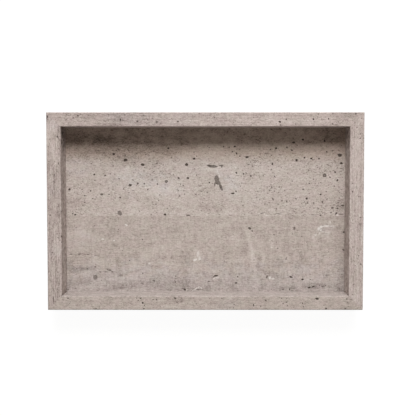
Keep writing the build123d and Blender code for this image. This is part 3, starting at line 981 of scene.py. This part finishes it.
class Shade(Nodes):
    """One material's nodes, with short names for the ones used most."""

    def __init__(self, name):
        self.material = bpy.data.materials.new(name)
        self.material.use_nodes = True
        super().__init__(self.material.node_tree)
        self.shader = self.nodes["Principled BSDF"]
        coordinates = self.node("ShaderNodeTexCoord").outputs["Object"]
        scaled = self.node("ShaderNodeVectorMath", {0: coordinates, "Scale": 1 / MM}, operation="SCALE")
        self.place = scaled.outputs[0]

    def stretched(self, size, turn=0.0, start=(0, 0, 0)):
        """The place, turned about Z by turn degrees and measured in cells of that size."""
        turned = self.place
        if turn:
            inputs = {"Vector": self.place, "Angle": math.radians(turn)}
            turned = self.node("ShaderNodeVectorRotate", inputs, rotation_type="Z_AXIS").outputs[0]
        inputs = {"Vector": turned, "Scale": tuple(1 / length for length in size), "Location": start}
        return self.node("ShaderNodeMapping", inputs).outputs[0]

    def noise(self, size, turn=0.0, start=(0, 0, 0), detail=2.0, roughness=0.5):
        """Cloudy noise from -1 to 1 or so."""
        place = self.stretched(size, turn, start)
        inputs = {"Vector": place, "Scale": 1.0, "Detail": detail, "Roughness": roughness}
        return self.math("MULTIPLY_ADD", self.node("ShaderNodeTexNoise", inputs).outputs[0], 2.0, -1.0)

    def specks(self, size, reach, turn=0.0, start=(0, 0, 0)):
        """Spots of 1 on 0. Each cell of that size has one, and reach is its radius in cells."""
        place = self.stretched((size, size, size), turn, start)
        cells = self.node("ShaderNodeTexVoronoi", {"Vector": place, "Scale": 1.0, "Randomness": 1.0})
        own = self.node("ShaderNodeSeparateColor", {0: cells.outputs["Color"]}).outputs[0]
        radius = self.times(own, reach)
        return self.smooth(cells.outputs["Distance"], radius, self.times(radius, SPECK_CORE_SHARE))

    def total(self, start, *terms):
        """start plus each (socket, weight) term."""
        result = start
        for socket, weight in terms:
            result = self.math("MULTIPLY_ADD", socket, weight, result)
        return result

    def ramp(self, value, stops):
        """A colour for each value, from (value, (red, green, blue)) stops."""
        made = self.node("ShaderNodeValToRGB", {0: value})
        elements = made.color_ramp.elements
        while len(elements) < len(stops):
            elements.new(0.5)
        for element, (position, colour) in zip(elements, stops):
            element.position = position
            element.color = (*colour, 1)
        return made.outputs[0]

    def tones(self, value, *colours):
        """A colour for each value, from a dark, a middle and a light one."""
        return self.ramp(value, list(zip(TONE_STOPS, colours)))

    def blend(self, factor, a, b, mode="MIX"):
        """Two colours mixed by factor."""
        mixed = self.node("ShaderNodeMix", {0: factor}, data_type="RGBA", blend_type=mode, clamp_factor=True)
        for index, colour in ((6, a), (7, b)):
            if isinstance(colour, bpy.types.NodeSocket):
                self.links.new(colour, mixed.inputs[index])
            else:
                mixed.inputs[index].default_value = (*colour, 1)
        return mixed.outputs[2]

    def attribute(self, name):
        return self.node("ShaderNodeAttribute", attribute_name=name).outputs["Fac"]

    def axes(self):
        return self.node("ShaderNodeSeparateXYZ", {0: self.place}).outputs

    def bump(self, height, distance):
        """Roughens the surface: a height of 1 stands out by distance, in millimetres."""
        made = self.node("ShaderNodeBump", {"Height": height, "Distance": distance * MM})
        self.links.new(made.outputs[0], self.shader.inputs["Normal"])

    def finish(self, colour, roughness, **constants):
        """Links the colour and roughness, and sets the sockets that are the same all over."""
        self.links.new(colour, self.shader.inputs["Base Color"])
        if isinstance(roughness, bpy.types.NodeSocket):
            self.links.new(roughness, self.shader.inputs["Roughness"])
        else:
            self.shader.inputs["Roughness"].default_value = roughness
        for name, value in constants.items():
            self.shader.inputs[name.replace("_", " ")].default_value = value
        return self.material


# The decor's colours from its darkest to its lightest, and the casts that shift them
CONCRETE_STOPS = [
    (0.0, (0.085, 0.069, 0.061)),
    (0.25, (0.265, 0.224, 0.201)),
    (0.5, (0.478, 0.411, 0.376)),
    (0.75, (0.62, 0.562, 0.528)),
    (1.0, (0.77, 0.735, 0.71)),
]
PINK_TINT = (1.01, 0.99, 1.002)
OLIVE_TINT = (0.99, 1.01, 0.99)
COOL_TINT = (0.962, 0.99, 1.03)
# Painted shade: a warm brown tint laid on the floor where the back wall's shadow falls
SHADE_WARMTH_TINT = (1.0, 0.935, 0.875)
RUBBED_COLOUR = (0.74, 0.705, 0.675)
SILT_COLOURS = ((0.032, 0.024, 0.019), (0.092, 0.069, 0.055))


def concrete(name, turn, start, lay, streak=0.3, cloudy=1.0, cast=(1, 1, 1)):
    """The decor: a warm grey board-marked concrete. turn lays its streaks along the piece.

    lay gives, from the material's nodes, how much each place is lifted, peppered,
    cooled and warmed brown by painted shade.
    """
    shade = Shade(name)
    lift, pepper, cool, painted_shade_warmth = lay(shade)
    clouds = shade.noise((60, 26, 26), turn, start, detail=2)
    mottle = shade.noise((12, 7, 7), turn, start, detail=3, roughness=0.6)
    streaks = shade.noise((36, 1.7, 1.7), turn, start, detail=3, roughness=0.65)
    grain = shade.noise((3.8, 1.5, 1.5), turn, start, detail=3, roughness=0.65)
    fine = shade.noise((1.9, 1.0, 1.0), turn, start, detail=5, roughness=0.72)
    gathered = shade.noise((26, 15, 15), turn, start, detail=2)
    strokes = shade.noise((2.8, 1.25, 1.25), turn, start, detail=2, roughness=0.6)
    dashes = shade.times(pepper, shade.smooth(shade.total(strokes, (gathered, 0.4)), 0.2, 0.5))
    specks = shade.times(pepper, shade.specks(2.7, 0.3, turn, start))
    level = shade.total(
        shade.math("ADD", 0.5, lift),
        (clouds, 0.1 * cloudy), (mottle, 0.16 * cloudy), (streaks, streak),
        (grain, 0.3), (fine, 0.34), (dashes, -0.24), (specks, -0.2),
    )
    edge = shade.noise((1.6, 1.6, 1.6), detail=2)
    hollow = shade.smooth(shade.total(shade.attribute("hollow"), (edge, 0.14)), 0.03, 0.97)
    pale = shade.smooth(shade.total(shade.attribute("scuff"), (edge, 0.3)), 0.15, 0.8)
    hue = shade.smooth(shade.noise((11, 7, 7), turn, start, detail=3), -0.4, 0.4)
    tints = [tuple(a * b for a, b in zip(tint, cast)) for tint in (PINK_TINT, OLIVE_TINT)]
    colour = shade.blend(1.0, shade.ramp(level, CONCRETE_STOPS), shade.blend(hue, *tints), "MULTIPLY")
    colour = shade.blend(cool, colour, COOL_TINT, "MULTIPLY")
    # Painted shade: warms the colour where the floor lies in the back wall's shadow
    colour = shade.blend(painted_shade_warmth, colour, SHADE_WARMTH_TINT, "MULTIPLY")
    colour = shade.blend(shade.times(pale, 0.75), colour, RUBBED_COLOUR)
    silt = shade.smooth(shade.noise((1.3, 1.3, 1.3), detail=3, roughness=0.6), -0.35, 0.5)
    bottom = shade.blend(silt, *SILT_COLOURS)
    colour = shade.blend(shade.times(hollow, 0.95), colour, bottom)
    relief = shade.total(0.5, (grain, 0.35), (streaks, 0.3), (dashes, -0.4), (specks, -0.5))
    shade.bump(relief, 0.06)
    roughness = shade.smooth(level, 0.2, 0.8, 0.72, 0.6)
    return shade.finish(colour, roughness, Specular_IOR_Level=0.12)


# The faint ring on the floor
RING_MIDDLE = (8, 11)
RING_RADIUS = 15


def floor_lay(shade):
    """The floor's two boards: where they are light or dark, pitted, cooler, and warmed by painted shade."""
    x, y, _ = shade.axes()
    waver = shade.noise((20, 9, 9), detail=3)
    below = shade.smooth(y, SEAM + 0.4, SEAM - 0.4)
    above = shade.math("SUBTRACT", 1.0, below)
    over_seam = shade.times(shade.smooth(y, SEAM + 14, SEAM), above)

    # The upper board is pocked, and the lower one has fine upright threads
    pocks = shade.times(above, shade.noise((1.7, 1.6, 1.6), 0, (3, 8, 1), detail=2, roughness=0.7))
    threads = shade.times(below, shade.noise((1.6, 9, 9), 0, (6, 2, 5), detail=2))

    # Upright bands on the right of the lower board
    ribs = shade.smooth(shade.noise((5.5, 90, 90), 3, (2, 0, 0), detail=2), -0.1, 0.5)
    low = shade.smooth(shade.total(y, (waver, 14)), -14, -34)
    right = shade.times(shade.smooth(x, 12, 45), low)
    ribbed = shade.times(right, ribs)

    # Clouds in the shadow of the back wall, a faint ring, and a darker foot
    shadow = shade.smooth(y, 76, 90)
    hidden = shade.times(shadow, shade.noise((13, 10, 10), 0, (9, 9, 9), detail=5, roughness=0.62))
    off_ring = shade.math("ABSOLUTE", shade.math("SUBTRACT", reach_from(shade, RING_MIDDLE), RING_RADIUS))
    ring = shade.smooth(off_ring, 3.5, 0.5)
    foot = shade.smooth(y, -88, -106)
    lift = shade.total(
        0.035,
        (below, -0.055), (over_seam, 0.03), (pocks, 0.25), (threads, 0.12), (ribbed, 0.05), (right, -0.02),
        (hidden, 0.45), (ring, -0.04), (foot, -0.03), (shade.attribute("tone"), 1.0),
    )
    peppered_right = shade.times(shade.smooth(x, 20, 90), above)
    pepper = shade.total(1.3, (below, -0.85), (peppered_right, 0.4))
    ragged = shade.noise((13, 9, 9), 0, (1, 5, 2), detail=4, roughness=0.6)
    low_down = shade.smooth(shade.total(y, (ragged, 50)), -58, -98)
    spots = shade.times(shade.attribute("cool"), shade.smooth(ragged, -0.3, 0.25))
    # Painted shade: a warm brown tint over the back wall's shadow and its soft edge
    painted_shade_warmth = shade.smooth(shade.total(y, (ragged, 8)), 58, 78)
    return lift, pepper, shade.math("MAXIMUM", low_down, spots), painted_shade_warmth


def reach_from(shade, at):
    """How far each place on the floor is from one, in millimetres."""
    flat = shade.node("ShaderNodeVectorMath", {0: shade.place, 1: (1, 1, 0)}, operation="MULTIPLY").outputs[0]
    return shade.node("ShaderNodeVectorMath", {0: flat, 1: (*at, 0)}, operation="DISTANCE").outputs["Value"]


def rail_lay(side, start):
    """How one rail's board is laid: its lift, with painted light on its inner face, its pits, and a cooler
    inner face on the front one.
    """

    def lay(shade):
        x, y, _ = shade.axes()
        facing_x, facing_y = SIDE_FACINGS[side]
        inner_face = RAIL_THICKNESS - (HALF_LENGTH if facing_x else HALF_WIDTH)
        inwards = shade.times(x if facing_x else y, -(facing_x + facing_y))
        facing_in = shade.smooth(inwards, inner_face - 1, inner_face - 0.3)
        run = 90 if facing_x else 0
        smears = shade.noise((14, 4, 4), run, start, detail=4, roughness=0.7)
        nicks = shade.noise((1.5, 1.2, 1.2), run, start, detail=2, roughness=0.7)
        blots = shade.noise((4, 4, 11), run, start, detail=3, roughness=0.6)
        # Painted light: the inner face is lifted to stand in for the fill and bounce light that reaches it
        lift = shade.total(
            shade.math("MULTIPLY_ADD", facing_in, INNER_FACE_PAINTED_LIGHT[side], RAIL_LIFTS[side]),
            (shade.times(facing_in, smears), 0.3), (nicks, 0.2), (shade.attribute("tone"), 1.0),
            (shade.times(facing_in, blots), 0.5 if facing_x else 0.1),
        )
        cool = shade.smooth(shade.noise((70, 30, 30), 0, start, detail=2), 0.1, 0.5, 0.0, 0.5)
        if side == "front":
            cool = shade.math("MAXIMUM", cool, facing_in)
        return lift, 1.0, cool, 0.0

    return lay


def fibreboard():
    """Raw fibreboard: fine brown fibres and dust."""
    shade = Shade("fibreboard")
    fibres = shade.noise((2.2, 0.5, 0.5), 17, detail=3, roughness=0.7)
    cross = shade.noise((0.5, 2.2, 1.0), -23, detail=3, roughness=0.7)
    clouds = shade.noise((14, 14, 14), detail=2)
    level = shade.total(0.5, (fibres, 0.3), (cross, 0.25), (clouds, 0.15))
    colour = shade.tones(level, (0.2, 0.125, 0.07), (0.40, 0.275, 0.17), (0.56, 0.42, 0.28))
    shade.bump(level, 0.12)
    return shade.finish(colour, shade.smooth(level, 0, 1, 0.95, 0.8), Specular_IOR_Level=0.2)


def beech():
    """Pressed beech: straight grain with short dark flecks."""
    shade = Shade("beech")
    rings = shade.noise((1.2, 1.2, 22), detail=3)
    flecks = shade.specks(1.4, 0.4)
    level = shade.total(0.55, (rings, 0.4), (flecks, -0.2))
    colour = shade.tones(level, (0.38, 0.22, 0.11), (0.60, 0.42, 0.25), (0.74, 0.57, 0.38))
    shade.bump(level, 0.08)
    return shade.finish(colour, 0.7, Specular_IOR_Level=0.3)


def backer_sheet():
    """The balancing sheet under the floor: brown-grey paper with a fine fibre and rub marks."""
    shade = Shade("backer_sheet")
    fibre = shade.noise((1.6, 0.6, 0.6), 8, detail=3, roughness=0.7)
    clouds = shade.noise((45, 30, 30), detail=3)
    rubs = shade.smooth(shade.noise((26, 1.2, 1.2), 31, detail=4, roughness=0.65), 0.32, 0.62)
    level = shade.total(0.5, (fibre, 0.2), (clouds, 0.22), (rubs, 0.12))
    colour = shade.tones(level, (0.11, 0.09, 0.075), (0.20, 0.168, 0.145), (0.31, 0.27, 0.24))
    shade.bump(fibre, 0.05)
    return shade.finish(colour, shade.smooth(level, 0.2, 0.9, 0.62, 0.45), Specular_IOR_Level=0.35)


def zinc():
    """Zinc plating on the screws: satin, with a faint blue and yellow cast and rub marks."""
    shade = Shade("zinc_steel")
    cast = shade.noise((3, 3, 3), detail=2)
    rubs = shade.noise((0.25, 2.0, 0.8), 40, detail=3)
    level = shade.total(0.5, (cast, 0.35), (rubs, 0.2))
    colour = shade.tones(level, (0.42, 0.45, 0.5), (0.60, 0.60, 0.58), (0.72, 0.69, 0.58))
    shade.bump(rubs, 0.03)
    return shade.finish(colour, shade.smooth(level, 0, 1, 0.28, 0.5), Metallic=1.0)


def rubber():
    """Moulded rubber: near black, faintly grained and dusty in patches."""
    shade = Shade("foot_rubber")
    grain = shade.noise((0.5, 0.5, 0.5), detail=2, roughness=0.7)
    dust = shade.smooth(shade.noise((5, 5, 5), detail=4, roughness=0.6), 0.0, 0.6)
    level = shade.total(0.35, (grain, 0.15), (dust, 0.35))
    colour = shade.tones(level, (0.018, 0.018, 0.018), (0.035, 0.034, 0.033), (0.11, 0.105, 0.10))
    shade.bump(grain, 0.05)
    return shade.finish(colour, shade.smooth(dust, 0, 1, 0.6, 0.85), Specular_IOR_Level=0.3)


def paint(piece, material):
    """Gives a piece one material, through its object's slot."""
    if not piece.material_slots:
        piece.data.materials.append(None)
    for material_slot in piece.material_slots:
        material_slot.link = "OBJECT"
        material_slot.material = material


def cover(piece, decor):
    """Finishes a decor skin, which rides on the tray."""
    paint(piece, decor)
    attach(piece, "root")


# Where the decor's noise starts on the floor, on the first rail and, by steps, on the next
# ones, so that no two boards are alike
FLOOR_START = (11.3, 4.2, 7.7)
RAIL_START = (1.3, 0, 0)
RAIL_START_STEP = (3.7, 5.1, 2.9)

# How strongly the floor is streaked and clouded
FLOOR_STREAK = 0.1
FLOOR_CLOUDY = 0.55


def dress():
    """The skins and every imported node's finish."""
    for index, side in enumerate(SIDE_FACINGS):
        turn = 0 if side in ("front", "back") else 90
        start = tuple(step * index + first for step, first in zip(RAIL_START_STEP, RAIL_START))
        board = rail_lay(side, start)
        skin_piece = rail_skin(side)
        decor = concrete(f"concrete_{side}", turn, start, board, RAIL_STREAKS[side], cast=RAIL_CASTS[side])
        cover(skin_piece, decor)
    cover(floor_skin(), concrete("concrete_floor", 0, FLOOR_START, floor_lay, FLOOR_STREAK, FLOOR_CLOUDY))

    finishes = {
        "fibreboard": fibreboard(),
        "beech": beech(),
        "backer_sheet": backer_sheet(),
        "zinc_steel": zinc(),
        "foot_rubber": rubber(),
    }
    for part in frame["record"]["subparts"]:
        if part["material_slot"] in finishes:
            paint(frame["nodes"][part["node"]], finishes[part["material_slot"]])


def seen_directly(tree):
    """1 for rays that show a surface to the camera, straight or by glass or gloss."""
    path = tree.node("ShaderNodeLightPath")
    seen = path.outputs["Is Camera Ray"]
    for other in ("Is Glossy Ray", "Is Transmission Ray"):
        seen = tree.math("MAXIMUM", seen, path.outputs[other])
    return seen


# The table, a square of this side in metres: its colour as other rays meet it, and its
# colour and glow as it is seen, white with a faint shadow
TABLE_SIDE = 8
TABLE_COLOUR = (0.8, 0.8, 0.8, 1)
TABLE_SEEN_COLOUR = (0.11, 0.11, 0.11, 1)
TABLE_GLOW = 0.945

# The fill: how bright the world is round the tray and low down behind it, how far towards
# the back it starts to rise and is full, and its cast
FILL = 0.24
FILL_BEHIND = 0.78
FILL_RISE = (0.1, 0.95)
FILL_COLOUR = (1.0, 0.945, 0.88, 1)
WHITE = (1, 1, 1, 1)


def table():
    """A white floor that keeps a faint shadow."""
    bpy.ops.mesh.primitive_plane_add(size=TABLE_SIDE)
    top = bpy.context.object
    top.name = "stage_floor"
    material = bpy.data.materials.new("stage_white")
    material.use_nodes = True
    tree = Nodes(material.node_tree)
    tree.nodes.clear()
    plain = tree.node("ShaderNodeBsdfDiffuse", {"Color": TABLE_COLOUR}).outputs[0]
    faint = tree.node("ShaderNodeBsdfDiffuse", {"Color": TABLE_SEEN_COLOUR}).outputs[0]
    glow = tree.node("ShaderNodeEmission", {"Strength": TABLE_GLOW}).outputs[0]
    both = tree.node("ShaderNodeAddShader", {0: faint, 1: glow}).outputs[0]
    choice = tree.node("ShaderNodeMixShader", {0: seen_directly(tree), 1: plain, 2: both}).outputs[0]
    tree.node("ShaderNodeOutputMaterial", {0: choice})
    top.data.materials.append(material)


def studio():
    """A world that is white to look at, and lights the tray softly, more from behind."""
    world = bpy.data.worlds.new("studio")
    bpy.context.scene.world = world
    world.use_nodes = True
    tree = Nodes(world.node_tree)
    seen = seen_directly(tree)
    tint = tree.node("ShaderNodeMix", {0: seen, 6: FILL_COLOUR, 7: WHITE}, data_type="RGBA").outputs[2]
    way = tree.node("ShaderNodeTexCoord").outputs["Generated"]
    backwards = tree.node("ShaderNodeSeparateXYZ", {0: way}).outputs["Y"]
    fill = tree.smooth(backwards, *FILL_RISE, FILL, FILL_BEHIND)
    strength = tree.node("ShaderNodeMapRange", {0: seen, 3: fill, 4: 1.0}).outputs[0]
    background = tree.nodes["Background"]
    tree.links.new(tint, background.inputs["Color"])
    tree.links.new(strength, background.inputs["Strength"])


# The soft boxes behind the tray: how bright each alone makes a white surface on the rim,
# its height and turn towards the right in degrees, and its width and height
LAMPS = {
    "key": (0.515, 47.4, -1, 600, 1080),
    "wing": (0.20, 48, 18, 810, 960),
}
LAMP_DISTANCE = 2400


def lights():
    """A soft box behind the tray and a weaker one beside it."""
    for name, (level, elevation, turn, width, height) in LAMPS.items():
        elevation = math.radians(elevation)
        turn = math.radians(turn)
        way = Vector((
            math.sin(turn) * math.cos(elevation),
            math.cos(turn) * math.cos(elevation),
            math.sin(elevation),
        ))
        lamp = bpy.data.lights.new(name, "AREA")
        lamp.shape = "RECTANGLE"
        lamp.size = width * MM
        lamp.size_y = height * MM
        distance = LAMP_DISTANCE * MM
        lamp.energy = level * math.pi**2 * distance**2 / math.sin(elevation)
        holder = bpy.data.objects.new(name, lamp)
        holder.location = way * distance + Vector((0, 0, RIM * MM))
        holder.rotation_euler = (-way).to_track_quat("-Z", "Y").to_euler()
        bpy.context.scene.collection.objects.link(holder)


# The camera: almost straight above, a little towards the back
CAMERA_PLACE = (5.33, 60.55, 1125.4)
CAMERA_TILT = 2.973
CAMERA_ROLL = 0.102
CAMERA_LENS = 73.84
CAMERA_SENSOR = 36


def camera():
    """The camera, which looks down on the tray."""
    data = bpy.data.cameras.new("camera")
    data.lens = CAMERA_LENS
    data.sensor_width = CAMERA_SENSOR
    view = bpy.data.objects.new("camera", data)
    view.location = Vector(CAMERA_PLACE) * MM
    view.rotation_mode = "ZYX"
    view.rotation_euler = (-math.radians(CAMERA_TILT), math.radians(CAMERA_ROLL), 0)
    bpy.context.scene.collection.objects.link(view)
    bpy.context.scene.camera = view


dress()
table()
studio()
lights()
camera()
bpy.context.scene.view_settings.view_transform = "Standard"
